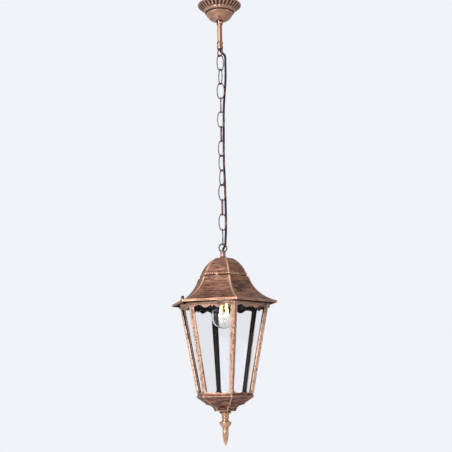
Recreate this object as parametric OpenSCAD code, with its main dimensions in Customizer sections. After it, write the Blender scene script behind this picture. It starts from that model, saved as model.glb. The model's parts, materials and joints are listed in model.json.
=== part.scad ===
// Hanging garden lantern: a six-sided cage under a domed roof, hung on a chain from a ceiling canopy.
// Millimetres, +Z up. The origin is on the ceiling, in the middle of the canopy. The lantern hangs below it.
// One post faces -Y. The thumb screw is on the -X side and the cage's hinge on the +X side.

/* [Canopy and stem] */
// Width of the canopy at the ceiling
canopy_d = 100; // [98:1:120]
// Height of the canopy without its collar
canopy_h = 40; // [38:0.5:44]
// Width of the plain bowl under the flutes
bowl_d = 64; // [58:1:68]
// Number of flutes round the canopy
flutes = 30; // [20:1:36]
// Depth of each flute
flute_depth = 1.2; // [0.6:0.1:1.4]
// Wall of the canopy
canopy_wall = 2.4; // [2:0.1:3]
// Outside of the stem tube
stem_d = 11; // [10:0.5:12]
// Wall of the stem tube
stem_wall = 1.25; // [1:0.05:1.5]
// How far the foot of the stem is below the ceiling
stem_foot = 98; // [90:1:160]
// Outside of the collar that clamps the canopy
collar_d = 15; // [14:0.5:18]
// Height of the collar
collar_h = 8; // [5:0.5:10]

/* [Ceiling bracket] */
// Play between the strap's ends and the inside of the canopy
strap_play = 3.6; // [3:0.2:5]
// Width of the strap
strap_w = 16; // [14:1:18]
// Thickness of the strap
strap_t = 2; // [1.5:0.5:3]
// How far the middle of the strap is dropped
strap_drop = 14; // [12:0.5:15]
// Distance from the middle of a screw slot to the strap's end
slot_inset = 10; // [9:0.5:11]
// Width of a screw slot
slot_w = 5; // [4:0.5:5.5]
// Length of a screw slot from end to end
slot_l = 12; // [8:0.5:13]

/* [Chain and cable] */
// Number of links
links = 13; // [3:2:13]
// Outside length of a link
link_l = 39.2; // [36:0.2:44]
// Outside width of a link
link_w = 18.6; // [17:0.2:22]
// Wire of a link
link_wire = 2.4; // [2:0.1:2.8]
// How much thicker the wire is round a link's ends, where it was bent and upset
link_swell = 0.1; // [0.06:0.02:0.2]
// Bend radius of a link's ends, at the middle of the wire
link_end_r = 6; // [5:0.5:6.5]
// Play between a link and what it hangs on
link_play = 0.3; // [0.2:0.05:0.6]
// Outside of the supply cable
cable_d = 5.2; // [4.4:0.1:5.4]
// Play round the cable in its holes
cable_play = 0.4; // [0.3:0.05:0.6]

/* [Loops] */
// Outside of the coupling on the stem
coupling_d = 14.4; // [14:0.2:17]
// Length of the coupling
coupling_l = 17.5; // [15:0.5:24]
// Radius of the coupling's eye, at the middle of its wire
eye_r = 9.6; // [9:0.1:12]
// Wire of the coupling's eye
eye_wire = 2.8; // [2.4:0.1:3]
// Radius of the lantern's ring, at the middle of its wire
ring_r = 8.8; // [8.4:0.1:11]
// Wire of the lantern's ring
ring_wire = 3; // [2.6:0.1:3.2]
// Outside of the neck under the ring
neck_d = 11.4; // [11:0.2:14]
// Height of the neck
neck_h = 17; // [12:0.1:20]
// Outside of the flange that presses on the roof cap
flange_d = 18; // [16:0.5:22]
// Outside of the threaded shank inside the roof
shank_d = 10; // [9.5:0.5:10]

/* [Roof] */
// Half the width across the flats at the top of the cap
cap_top_a = 19; // [15:0.5:21]
// Half the width across the flats at the foot of the dome
cap_foot_a = 45; // [43:0.5:46]
// Half the width across the flats of the cap's edge
cap_edge_a = 47.6; // [47:0.2:50]
// Height of the cap with its edge
cap_h = 39.5; // [37:0.5:44]
// Height of the cap's edge band
cap_band = 6.5; // [5:0.5:8]
// Bend radius of the dome
dome_r = 61; // [50:1:75]
// Gap for air between cap and roof
vent_gap = 1.5; // [1:0.1:2.5]
// Half the width across the flats at the shoulder of the roof
shoulder_a = 52; // [51:0.5:56]
// Half the width across the flats at the brim
brim_a = 104.5; // [103:0.5:112]
// Height of the roof from its shoulder to the foot of the lip
skirt_h = 60.8; // [56:0.1:74]
// Bend radius of the flared skirt
skirt_r = 77; // [74:1:120]
// Height of the brim's lip
lip_h = 4.4; // [4:0.2:6]
// Wall of the roof castings
roof_wall = 2.6; // [2:0.1:3]

/* [Cage] */
// How far the top ring's moulding stands back from the brim
ring_inset = 14; // [12.5:0.5:15]
// How far the top of the glass stands back from the brim
cage_inset = 18; // [17.5:0.5:20]
// Half the width across the flats at the foot of the posts
cage_foot_a = 54.7; // [53:0.1:60]
// Length of the posts, measured straight down
post_h = 186.7; // [150:0.1:240]
// Width of a post at its top
post_w = 15; // [13:0.5:16]
// Width of a post at its foot
post_foot_w = 9.6; // [9:0.2:12]
// Wall of a post's two wings and of the aprons
post_wall = 2.4; // [2.2:0.1:3]
// Thickness of a glass pane
glass_t = 2; // [1.8:0.1:2.4]
// Play on each side of the glass in its grooves
glass_play = 0.3; // [0.2:0.05:0.5]
// Height of the top ring's moulding
top_ring_h = 5.4; // [5:0.1:8]
// How deep the apron's two lobes hang
lobe_drop = 7; // [4:0.5:10]
// Play between the cage and the roof that it closes against
seat_play = 0.3; // [0.2:0.05:0.5]

/* [Base and finial] */
// Height of the base cup
base_h = 37; // [34:0.5:44]
// How far the ledge stands out from the posts' feet
ledge_out = 1.6; // [1.2:0.1:4]
// Length of the finial below the base cup
finial_l = 73; // [60:1:100]
// Widest radius of the finial
finial_r = 13.4; // [12:0.1:15]
// Stud of the finial
stud_d = 6; // [5:0.5:8]

/* [Lamp] */
// Width of the bulb
bulb_d = 57; // [50:1:60]
// Length of the bulb with its cap
bulb_l = 96; // [92:1:110]
// Width of the bulb's screw cap
bulb_cap_d = 26; // [25:0.2:26.4]
// Outside of the lampholder
holder_d = 42; // [38:1:46]

/* [Hinge and thumb screw] */
// How far the hinge pin stands back from the brim
hinge_inset = 7.5; // [6.5:0.5:8.5]
// Hinge pin
pin_d = 4; // [3:0.5:4.5]
// Length of the hinge pin
pin_l = 29; // [28:0.5:32]
// Running clearance round the pin
pin_play = 0.05; // [0.02:0.01:0.1]
// Outside of the hinge knuckles
knuckle_d = 8; // [7:0.5:8]
// How far the thumb screw stands back from the brim
screw_inset = 13; // [11.5:0.5:13.5]
// Shank of the thumb screw
screw_d = 4; // [3:0.5:5]
// Play of the thumb screw in the roof and in the cage's lug
screw_play = 0.5; // [0.3:0.1:0.8]
// Head of the thumb screw
screw_head_d = 6.6; // [6:0.2:9]
// Height of the thumb screw's head
screw_head_h = 7; // [5:0.5:10]

/* [Hidden] */
$fn = 64;
LINKS = [for (i = [1 : links]) str("link_", i)];
POSTS = [for (i = [1 : 6]) str("post_", i)];
PANES = [for (i = [1 : 6]) str("glass_pane_", i)];

COPPER = "peru";
DARK_COPPER = "saddlebrown";
STEEL = "silver";
BLACK = "#202020";

// Clearance between a thread and its hole, and how far a cut runs past a face
thread_play = 0.1;
cut = 1;

// Sizes that follow the canopy and the brim
strap_l = canopy_d - 2 * (canopy_wall + strap_play);
strap_web = 0.24 * canopy_d;
slot_spacing = strap_l - 2 * slot_inset;
ring_a = brim_a - ring_inset;
cage_top_a = brim_a - cage_inset;
hinge_a = brim_a - hinge_inset;
screw_a = brim_a - screw_inset;
ledge_a = cage_foot_a + ledge_out;

// Heights, from the ceiling down
web_z = -strap_drop;
nut_h = 5;
nut_af = 17;
coupling_grip = 8;
coupling_z = -stem_foot + coupling_grip;
eye_face_z = coupling_z - coupling_l;
eye_drop = 8;
eye_z = eye_face_z - eye_drop;
crown_wire = link_wire + link_swell;
link_half_l = (link_l - crown_wire) / 2;
link_pitch = link_l - 2 * crown_wire - link_play;
first_link_z = eye_z - eye_r + (eye_wire + crown_wire) / 2 + link_play - link_half_l;
function link_z(i) = first_link_z - i * link_pitch;
last_crown_z = link_z(links - 1) - link_half_l;
ring_crown_z = last_crown_z + (crown_wire + ring_wire) / 2 + link_play;
ring_z = ring_crown_z - ring_r;
ring_drop = 7.4;
neck_z = ring_z - ring_drop;
roof_z = neck_z - neck_h;
cap_foot_z = roof_z - cap_h;
shoulder_z = cap_foot_z - vent_gap;
lip_z = shoulder_z - skirt_h;
brim_z = lip_z + lip_h;
cage_z = lip_z - seat_play;
post_top_z = cage_z - top_ring_h;
post_foot_z = post_top_z - post_h;
base_z = post_foot_z - base_h;
tip_z = base_z - finial_l;

// The plane that each cage face lies in, and the line that each corner follows
face_slope = (cage_top_a - cage_foot_a) / post_h;
face_tilt = atan(face_slope);
corner_top_r = cage_top_a / cos(30);
corner_foot_r = cage_foot_a / cos(30);
corner_tilt = atan((corner_top_r - corner_foot_r) / post_h);

// How far each link has turned about the vertical, as a slack chain settles
link_turns = [10, -75, -10, 80, -15, 70, -45, 30, -65, 10, -95, 0, 75];
eye_turn = -70;

bore_d = cable_d + 2 * cable_play;

// Points on the arc from p to q about a centre left of that way (r > 0) or right of it (r < 0).
// grow moves the arc away from its centre.
function arc_centre(p, q, r) =
    let (d = q - p, l = norm(d), h = sqrt(r * r - l * l / 4))
    (p + q) / 2 + [-d.y, d.x] / l * h * sign(r);
function arc_between(p, q, r, n, grow = 0) =
    let (
        c = arc_centre(p, q, r),
        a = atan2(p.y - c.y, p.x - c.x),
        b = atan2(q.y - c.y, q.x - c.x),
        turn = (b - a + 540) % 360 - 180
    )
    [for (i = [0 : n]) c + (abs(r) + grow) * [cos(a + turn * i / n), sin(a + turn * i / n)]];

// A solid with six equal sides and mitred corners, from the right half of its outline as [half width, height]
module six_sided(outline) {
    mirrored = [for (i = [len(outline) - 1 : -1 : 0]) [-outline[i].x, outline[i].y]];
    intersection() {
        for_side(0, concat(outline, mirrored));
        for_side(60, concat(outline, mirrored));
        for_side(120, concat(outline, mirrored));
    }
}

module for_side(turn, outline) {
    rotate([0, 0, turn]) rotate([90, 0, 0])
        linear_extrude(height = 4 * brim_a, center = true) polygon(outline);
}

// A turned solid from its outline as [radius, height]
module turned(outline) {
    rotate_extrude() polygon(outline);
}

module tube(outside, inside, top, bottom) {
    difference() {
        translate([0, 0, bottom]) cylinder(d = outside, h = top - bottom);
        translate([0, 0, bottom - cut]) cylinder(d = inside, h = top - bottom + 2 * cut);
    }
}

module hex_nut(across_flats, hole, top, height) {
    difference() {
        translate([0, 0, top - height]) cylinder(d = across_flats / cos(30), h = height, $fn = 6);
        translate([0, 0, top - height - cut]) cylinder(d = hole, h = height + 2 * cut);
    }
}

// Ceiling bracket: a strap with two feet against the ceiling and a dropped middle
module ceiling_bracket() {
    foot = (strap_l - 2 * strap_web) / 2 + strap_t;
    color(STEEL) difference() {
        union() {
            for (side = [-1, 1]) {
                translate([side * (strap_l / 2 - foot / 2) - foot / 2, -strap_w / 2, -strap_t])
                    cube([foot, strap_w, strap_t]);
                translate([side * (strap_web - strap_t / 2) - strap_t / 2, -strap_w / 2, web_z])
                    cube([strap_t, strap_w, strap_drop]);
            }
            translate([-strap_web, -strap_w / 2, web_z]) cube([2 * strap_web, strap_w, strap_t]);
        }
        translate([0, 0, web_z - cut]) cylinder(d = stem_d + 2 * thread_play, h = strap_t + 2 * cut);
        for (side = [-1, 1]) translate([side * slot_spacing / 2, 0, -strap_t - cut]) screw_slot();
    }
}

module screw_slot() {
    for (end = [-1, 1]) translate([end * (slot_l - slot_w) / 2, 0, 0])
        cylinder(d = slot_w, h = strap_t + 2 * cut);
    translate([-(slot_l - slot_w) / 2, -slot_w / 2, 0]) cube([slot_l - slot_w, slot_w, strap_t + 2 * cut]);
}

module stem() {
    color(COPPER) tube(stem_d, stem_d - 2 * stem_wall, web_z + strap_t + nut_h + 2, -stem_foot);
}

module stem_nuts() {
    color(STEEL) {
        hex_nut(nut_af, stem_d + 2 * thread_play, web_z + strap_t + nut_h, nut_h);
        hex_nut(nut_af, stem_d + 2 * thread_play, web_z, nut_h);
    }
}

// Two-pole terminal block beside the nut, with wire holes and screw wells
module terminal_block() {
    block_l = strap_web - strap_t - nut_af / 2 / cos(30) - 0.6;
    block_w = 14;
    block_h = 9;
    hole_d = 3.2;
    color("white") translate([strap_web - strap_t - block_l, -block_w / 2, web_z + strap_t]) difference() {
        cube([block_l, block_w, block_h]);
        for (pole = [0.28, 0.72]) {
            translate([-cut, block_w * pole, 3]) rotate([0, 90, 0])
                cylinder(d = hole_d, h = block_l + 2 * cut);
            translate([block_l / 2, block_w * pole, 3]) cylinder(d = hole_d, h = block_h);
        }
    }
}

// Top loop: a beaded coupling on the stem, with an eye below it and a way through for the cable
module top_loop() {
    r = coupling_d / 2;
    waist = r - 1.1;
    z = coupling_z;
    l = coupling_l;
    color(COPPER) difference() {
        union() {
            turned([
                [0, z], [waist, z], [r, z - 0.12 * l], [r, z - 0.26 * l], [waist, z - 0.34 * l],
                [waist, z - 0.6 * l], [r, z - 0.68 * l], [r, z - 0.84 * l], [waist + 0.4, z - l], [0, z - l]
            ]);
            translate([0, 0, eye_z]) rotate([0, 0, eye_turn]) wire_ring(eye_r, eye_wire);
        }
        translate([0, 0, -stem_foot]) cylinder(d = stem_d + 2 * thread_play, h = stem_foot);
        translate([0, 0, eye_face_z - 0.6]) cylinder(d = bore_d, h = coupling_l);
    }
}

// A ring of round wire standing upright in the XZ plane
module wire_ring(r, wire) {
    rotate([90, 0, 0]) rotate_extrude() translate([r, 0]) circle(d = wire);
}

// Canopy: a pressed cup with radial flutes, a plain band, a groove and a plain bowl
bowl_z = -0.52 * canopy_h;
bowl_r = 0.41 * bowl_d;
flute_top = [canopy_d / 2 - 0.8, -3.2];
flute_foot = [bowl_d / 2 + 4.5, -0.35 * canopy_h];
canopy_hole_r = stem_d / 2 + 0.4;
module canopy() {
    rim = canopy_d / 2;
    bowl_top = [bowl_d / 2 - 0.6, bowl_z - 0.6];
    bowl_foot = [collar_d / 2 - 0.5, -canopy_h];
    outer = concat(
        [[0, 0], [rim - 1, 0], [rim, -1], [rim, -2.4], flute_top, flute_foot],
        [[bowl_d / 2 + 1.4, bowl_z + 0.6], [bowl_d / 2, bowl_z]],
        arc_between(bowl_top, bowl_foot, -bowl_r, 12), [[0, -canopy_h]]
    );
    inner = concat(
        [[0, cut], [rim - canopy_wall, cut], [rim - canopy_wall, flute_top.y + 0.6]],
        [[flute_foot.x - canopy_wall * 0.8, flute_foot.y + canopy_wall * 0.8]],
        arc_between(bowl_top, bowl_foot, -bowl_r, 12, -canopy_wall), [[0, -canopy_h + canopy_wall]]
    );
    color(COPPER) difference() {
        turned(outer);
        turned(inner);
        translate([0, 0, -canopy_h - cut]) cylinder(r = canopy_hole_r, h = canopy_h);
        for (i = [0 : flutes - 1]) rotate([0, 0, i * 360 / flutes]) flute();
    }
}

// One flute: a cone whose inner edge runs evenly deep below the slope of the canopy
module flute() {
    lean = atan2(flute_top.x - flute_foot.x, flute_top.y - flute_foot.y);
    run = norm(flute_top - flute_foot) + 2 * cut;
    foot_r = 0.32 * PI * flute_foot.x * 2 / flutes;
    top_r = 0.32 * PI * flute_top.x * 2 / flutes;
    translate([flute_foot.x, 0, flute_foot.y]) rotate([0, lean, 0]) translate([-flute_depth, 0, -cut])
        rotate([0, atan((top_r - foot_r) / run), 0]) translate([foot_r, 0, 0])
            cylinder(r1 = foot_r, r2 = top_r, h = run);
}

module canopy_collar() {
    top = -canopy_h;
    color(COPPER) difference() {
        turned([
            [0, top], [collar_d / 2 - 0.8, top], [collar_d / 2, top - 0.8],
            [collar_d / 2, top - collar_h + 1.2], [collar_d / 2 - 1.2, top - collar_h], [0, top - collar_h]
        ]);
        translate([0, 0, top - collar_h - cut]) cylinder(r = canopy_hole_r, h = collar_h + 2 * cut);
        grub_place() cylinder(d = grub_d + 2 * thread_play, h = collar_d);
    }
}

// The grub screw lies flat, pointing out of the collar
grub_d = 3;
grub_turn = -138;
module grub_place() {
    translate([0, 0, -canopy_h - collar_h + 3]) rotate([0, 0, grub_turn]) rotate([0, 90, 0])
        translate([0, 0, stem_d / 2 + 0.1]) children();
}

module collar_screw() {
    color(BLACK) grub_place() difference() {
        cylinder(d = grub_d, h = 4.2);
        translate([-grub_d, -0.3, 3.4]) cube([2 * grub_d, 0.6, cut]);
    }
}

// One oval link: two tight ends and two long sides, all arcs of the same wire
link_half_w = (link_w - link_wire) / 2;
end_c = link_half_l - link_end_r;
side_r = (link_half_w * link_half_w + end_c * end_c - link_end_r * link_end_r)
    / (2 * (link_half_w - link_end_r));
side_sweep = atan2(end_c, side_r - link_half_w);
side_overlap = 1.5;
module chain_link(i) {
    color(DARK_COPPER) translate([0, 0, link_z(i)]) rotate([0, 0, link_turns[i]]) rotate([90, 0, 0]) {
        for (end = [0, 180]) rotate([0, 0, end]) {
            translate([0, end_c, 0]) rotate([0, 0, side_sweep])
                rotate_extrude(angle = 180 - 2 * side_sweep) translate([link_end_r, 0]) circle(d = crown_wire);
            translate([link_half_w - side_r, 0, 0]) rotate([0, 0, -side_sweep - side_overlap])
                rotate_extrude(angle = 2 * (side_sweep + side_overlap)) translate([side_r, 0])
                    circle(d = link_wire);
        }
    }
}

// Supply cable: out of the coupling's bore, down beside the chain, and into the lantern's neck.
// The points pull a smooth cubic spline towards them, so the cable has no kinks.
cable_route = [
    [0, 0, -104], [0, 0, -107.5], [0.7, -0.1, -111.6], [2.7, -0.5, -115.2], [5.9, -1, -117.8],
    [9, -1.6, -120.5], [11, -1.9, -124.1], [11.7, -2, -128.2], [11.7, -2, -134], [11.6, -2, -143],
    [11.9, -1.6, -157], [12.1, -0.4, -180], [10.4, 2.8, -208], [7.8, 4.4, -242], [7, 4.4, -276],
    [7, 4.8, -310], [6.6, 6.4, -344], [7.4, 9.1, -378], [8.2, 7.3, -412], [8.8, 6.5, -446],
    [9, 5.1, -480], [9.1, 4.8, -512], [8.8, 5.9, -534], [8.3, 7.2, -548], [7.8, 7.8, -556],
    [7.8, 7.8, -559.7], [7.4, 7.4, -563.4], [6, 6, -566.8], [3.9, 3.9, -569.2], [1.8, 1.8, -571.7],
    [0.5, 0.5, -575], [0, 0, -578.8], [0, 0, -582.5]
];
cable_sides = 10;
cable_step = 0.5;
function near(p, i) = p[min(max(i, 0), len(p) - 1)];
function smooth(p, i, t) = (
    pow(1 - t, 3) * near(p, i - 1) + (3 * pow(t, 3) - 6 * t * t + 4) * near(p, i)
    + (3 * t + 3 * t * t - 3 * pow(t, 3) + 1) * near(p, i + 1) + pow(t, 3) * near(p, i + 2)
) / 6;
cable_path = concat(
    [
        for (i = [-1 : len(cable_route) - 1], t = [0 : cable_step : 1 - cable_step / 2])
            smooth(cable_route, i, t)
    ],
    [cable_route[len(cable_route) - 1]]
);

// Each ring of the tube stands square to the way that the cable runs
function way(p, i) =
    let (d = p[min(i + 1, len(p) - 1)] - p[max(i - 1, 0)])
    d / norm(d);
function ring_at(p, i) =
    let (w = way(p, i), u = cross(w, [0, 1, 0]) / norm(cross(w, [0, 1, 0])), v = cross(w, u))
    [
        for (k = [0 : cable_sides - 1]) let (a = 360 * k / cable_sides)
            p[i] + cable_d / 2 * (cos(a) * u + sin(a) * v)
    ];
module supply_cable() {
    n = len(cable_path);
    points = [for (i = [0 : n - 1]) each ring_at(cable_path, i)];
    sides = [
        for (i = [0 : n - 2]) for (k = [0 : cable_sides - 1])
            let (a = i * cable_sides, j = (k + 1) % cable_sides)
            [a + k, a + cable_sides + k, a + cable_sides + j, a + j]
    ];
    first_end = [for (k = [0 : cable_sides - 1]) k];
    last_end = [for (k = [cable_sides - 1 : -1 : 0]) (n - 1) * cable_sides + k];
    color(BLACK) polyhedron(points, concat(sides, [first_end, last_end]));
}

// Lantern loop: a cast ring on a flared neck, with a flange on the roof and a threaded shank below it
shank_foot_z = shoulder_z - 15.5;
module lantern_loop() {
    r = neck_d / 2;
    z = neck_z;
    color(COPPER) difference() {
        union() {
            translate([0, 0, ring_z]) wire_ring(ring_r, ring_wire);
            turned(concat(
                [[0, z], [r - 0.8, z], [r, z - 0.8], [r, z - 0.45 * neck_h]],
                arc_between([r, z - 0.55 * neck_h], [flange_d / 2, roof_z + 2], 6, 6),
                [[flange_d / 2, roof_z], [shank_d / 2, roof_z], [shank_d / 2, shank_foot_z], [0, shank_foot_z]]
            ));
        }
        translate([0, 0, shank_foot_z - cut]) cylinder(d = bore_d, h = neck_z - shank_foot_z + 1.6);
    }
}

// Roof cap: the domed top, with a raised edge band and six leaf-shaped feet
module roof_cap() {
    band_z = cap_foot_z + cap_band;
    top = [cap_top_a, roof_z];
    foot = [cap_foot_a, band_z];
    outer = concat(
        arc_between(top, foot, -dome_r, 14),
        [[cap_foot_a + 1.2, band_z - 0.6], [cap_edge_a, cap_foot_z + 1], [cap_edge_a, cap_foot_z]]
    );
    inner = concat(
        [[cap_top_a - 3, roof_z - roof_wall]],
        [for (p = arc_between(top, foot, -dome_r, 14, -roof_wall)) if (p.y < roof_z - roof_wall) p],
        [[cap_edge_a - roof_wall, cap_foot_z + 1], [cap_edge_a - roof_wall, cap_foot_z - cut]]
    );
    color(COPPER) difference() {
        union() {
            difference() {
                six_sided(outer);
                six_sided(inner);
            }
            for (i = [0 : 5]) rotate([0, 0, 60 * i]) cap_foot();
        }
        translate([0, 0, roof_z - roof_wall - cut])
            cylinder(d = shank_d + 2 * thread_play, h = roof_wall + 2 * cut);
    }
}

// One foot: a small pointed leaf over the middle of a side, standing on the roof's shoulder
module cap_foot() {
    leaf = [
        [-2.5, shoulder_z], [2.5, shoulder_z], [3, cap_foot_z + 1], [0, cap_foot_z + 4.5], [-3, cap_foot_z + 1]
    ];
    translate([cap_edge_a - 1.8, 0, 0]) rotate([90, 0, 90]) linear_extrude(height = 2.6) polygon(leaf);
}

// Roof: collar inside the cap, round shoulder, flared skirt and a brim with an upright lip
collar_in_a = 37;
strap_seat_z = shoulder_z - 3;
lip_t = 3;
skirt_from = [shoulder_a, shoulder_z - 6];
skirt_to = [brim_a, brim_z];
function skirt_height(a, r = skirt_r) =
    let (c = arc_centre(skirt_from, skirt_to, skirt_r)) c.y - sqrt(r * r - (c.x - a) * (c.x - a));
module roof() {
    outer = concat(
        [[collar_in_a + roof_wall, shoulder_z + 8], [collar_in_a + roof_wall, shoulder_z]],
        arc_between([shoulder_a - 6, shoulder_z], skirt_from, -6.4, 5),
        arc_between(skirt_from, skirt_to, skirt_r, 16),
        [[brim_a, lip_z]]
    );
    inner = concat(
        [[collar_in_a, shoulder_z + 8 + cut], [collar_in_a, strap_seat_z], [shoulder_a - 5, strap_seat_z]],
        [for (p = arc_between(skirt_from, skirt_to, skirt_r, 16, roof_wall)) if (p.x < brim_a - lip_t - 2) p],
        [[brim_a - lip_t, brim_z - roof_wall], [brim_a - lip_t, lip_z - cut]]
    );
    color(COPPER) difference() {
        union() {
            difference() {
                six_sided(outer);
                six_sided(inner);
            }
            intersection() {
                six_sided(concat(
                    arc_between(skirt_from, skirt_to, skirt_r, 16, roof_wall / 2),
                    [[brim_a - lip_t / 2, brim_z - roof_wall], [brim_a - lip_t / 2, lip_z - 2 * knuckle_d]]
                ));
                roof_fittings();
            }
            translate([-screw_a, 0, brim_z]) cylinder(d = screw_boss_d, h = screw_seat_z - brim_z);
        }
        translate([-screw_a, 0, lip_z - cut]) cylinder(d = screw_d + 2 * screw_play, h = skirt_h);
        hinge_place() cylinder(d = pin_d + 2 * pin_play, h = pin_l + 2 * cut, center = true);
    }
}

// Under the brim: four seats for the cage, the thumb screw's boss and the two hinge ears
ear_gap = 18.6;
ear_t = 4.6;
screw_boss_d = 10;
screw_seat_z = skirt_height(screw_a - screw_boss_d / 2 + 1);
module roof_fittings() {
    for (side = [60, 120, 240, 300]) rotate([0, 0, side])
        translate([cage_top_a - 4, -1.5, lip_z]) cube([14, 3, skirt_h / 2]);
    translate([-screw_a, 0, lip_z]) cylinder(d = screw_boss_d, h = skirt_h / 2);
    for (side = [-1, 1]) translate([hinge_a, side * (ear_gap + ear_t) / 2, hinge_z]) {
        rotate([90, 0, 0]) cylinder(d = knuckle_d, h = ear_t, center = true);
        translate([-knuckle_d / 2, -ear_t / 2, 0]) cube([knuckle_d, ear_t, skirt_h / 2]);
    }
}

hinge_z = cage_z - knuckle_d / 2 + 0.6;
module hinge_place() {
    translate([hinge_a, 0, hinge_z]) rotate([90, 0, 0]) children();
}

module hinge_pin() {
    color(STEEL) hinge_place() cylinder(d = pin_d, h = pin_l, center = true);
}

module thumb_screw() {
    grooves = 14;
    color(BLACK) translate([-screw_a, 0, 0]) difference() {
        union() {
            translate([0, 0, screw_seat_z + 0.1]) turned([
                [0, 0], [screw_head_d / 2 - 0.6, 0], [screw_head_d / 2, 0.6],
                [screw_head_d / 2, screw_head_h - 1.4], [screw_head_d / 2 - 1.2, screw_head_h],
                [0, screw_head_h]
            ]);
            translate([0, 0, cage_z - 3.9]) cylinder(d = screw_d, h = screw_seat_z + 1 - cage_z + 3.9);
        }
        for (i = [0 : grooves - 1]) rotate([0, 0, i * 360 / grooves])
            translate([screw_head_d / 2 + 0.15, 0, screw_seat_z])
                cylinder(d = 0.8, h = screw_head_h + cut, $fn = 16);
    }
}

// Bridge strap: it lies under the roof's inner ledge, and the shank's nut draws it up
bridge_t = 2.5;
module bridge_strap() {
    half = shoulder_a - 8;
    color(STEEL) difference() {
        translate([-half, -strap_w / 2, strap_seat_z - bridge_t]) cube([2 * half, strap_w, bridge_t]);
        translate([0, 0, strap_seat_z - bridge_t - cut])
            cylinder(d = shank_d + 2 * thread_play, h = bridge_t + 2 * cut);
    }
}

module shank_nuts() {
    color(STEEL) {
        hex_nut(nut_af - 3, shank_d + 2 * thread_play, roof_z - roof_wall, nut_h);
        hex_nut(nut_af - 3, shank_d + 2 * thread_play, strap_seat_z - bridge_t, nut_h);
    }
}

// Lampholder: a porcelain body screwed on the shank, open below for the bulb's cap
holder_z = strap_seat_z - bridge_t - nut_h;
socket_z = holder_z - 6.5;
holder_foot_z = holder_z - 42;
mouth_h = 8;
module lampholder() {
    r = holder_d / 2;
    socket_r = bulb_cap_d / 2 + 0.7;
    color("white") difference() {
        turned([
            [0, holder_z], [9, holder_z], [11, holder_z - 3], [r - 2, holder_z - 12], [r, holder_z - 16],
            [r, holder_foot_z + 4], [r - 1.5, holder_foot_z], [0, holder_foot_z]
        ]);
        translate([0, 0, holder_foot_z - cut]) cylinder(r = socket_r, h = socket_z - holder_foot_z + cut);
        translate([0, 0, holder_foot_z - cut]) cylinder(r1 = socket_r + 2.6, r2 = socket_r, h = mouth_h + cut);
        translate([0, 0, shank_foot_z - 0.2])
            cylinder(d = shank_d + 2 * thread_play, h = holder_z - shank_foot_z + cut);
        translate([0, 0, holder_foot_z]) cylinder(d = bore_d, h = holder_z - holder_foot_z);
    }
}

// Bulb: screw cap, clear envelope, glass stem and four standing filaments
bulb_tip_z = socket_z - 0.3;
cap_l = 27;
bulb_neck_z = bulb_tip_z - cap_l;
bulb_foot_z = bulb_tip_z - bulb_l;
bulb_r = bulb_d / 2;
bulb_neck_r = bulb_cap_d / 2 - 0.6;
module bulb_cap() {
    r = bulb_cap_d / 2;
    threads = 5;
    thread_z = bulb_tip_z - 6;
    pitch = (cap_l - 9) / threads;
    color(STEEL) turned(concat(
        [[0, bulb_tip_z], [4, bulb_tip_z], [4.5, bulb_tip_z - 1.4]],
        [[r - 2.5, thread_z + 1.4], [r - 0.9, thread_z]],
        [
            for (i = [0 : threads - 1]) each [
                [r, thread_z - pitch * (i + 0.3)], [r, thread_z - pitch * (i + 0.5)],
                [r - 0.9, thread_z - pitch * (i + 1)]
            ]
        ],
        [[r - 0.4, bulb_neck_z], [0, bulb_neck_z]]
    ));
}

bulb_wall = 1;
shoulder_angle = 38;
bulb_centre_z = bulb_foot_z + bulb_r;
function bulb_outline(inset) =
    let (
        r = bulb_r - inset,
        foot = [0, bulb_centre_z - r],
        shoulder = [r * cos(shoulder_angle), bulb_centre_z + r * sin(shoulder_angle)],
        neck = [bulb_neck_r - inset, bulb_neck_z]
    )
    concat(
        [for (a = [-90 : 8 : shoulder_angle - 1]) [r * cos(a), bulb_centre_z + r * sin(a)]],
        arc_between(shoulder, neck, -46, 6, inset),
        [[0, bulb_neck_z]]
    );
module bulb_glass() {
    color("white", 0.35) difference() {
        turned(bulb_outline(0));
        turned(bulb_outline(bulb_wall));
        translate([0, 0, bulb_neck_z - bulb_wall]) cylinder(r = bulb_neck_r - bulb_wall, h = 2 * bulb_wall);
    }
}

// The stem flares inside the neck and carries a mast between the filaments
filament_l = 30;
filament_top_z = bulb_neck_z - 12;
mast_foot_z = filament_top_z - filament_l - 2;
module bulb_stem() {
    color("white", 0.5) difference() {
        turned([
            [0, bulb_neck_z], [bulb_neck_r - bulb_wall - 0.3, bulb_neck_z], [6, bulb_neck_z - 3],
            [3.5, bulb_neck_z - 10], [2, filament_top_z - 4], [1.4, mast_foot_z + 1], [1.4, mast_foot_z],
            [0, mast_foot_z]
        ]);
        lead_wires();
    }
}

// Eight short wires stand out of the stem and hold the filaments
filament_spread = 8;
filament_lean = 6;
lead_r = 0.7;
module lead_wires() {
    foot_reach = filament_spread + filament_l * sin(filament_lean) - 0.4;
    for (i = [0 : 3]) rotate([0, 0, 45 + 90 * i]) {
        translate([lead_r, 0, filament_top_z - 0.4]) rotate([0, 90, 0]) cylinder(d = 0.8, h = filament_spread);
        translate([lead_r, 0, mast_foot_z + 1.4]) rotate([0, 90, 0]) cylinder(d = 0.8, h = foot_reach);
    }
}

module bulb_filaments() {
    for (i = [0 : 3]) rotate([0, 0, 45 + 90 * i])
        color("gold") translate([filament_spread, 0, filament_top_z]) rotate([0, 180 - filament_lean, 0])
            cylinder(d = 2, h = filament_l);
    color(STEEL) lead_wires();
}

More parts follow.
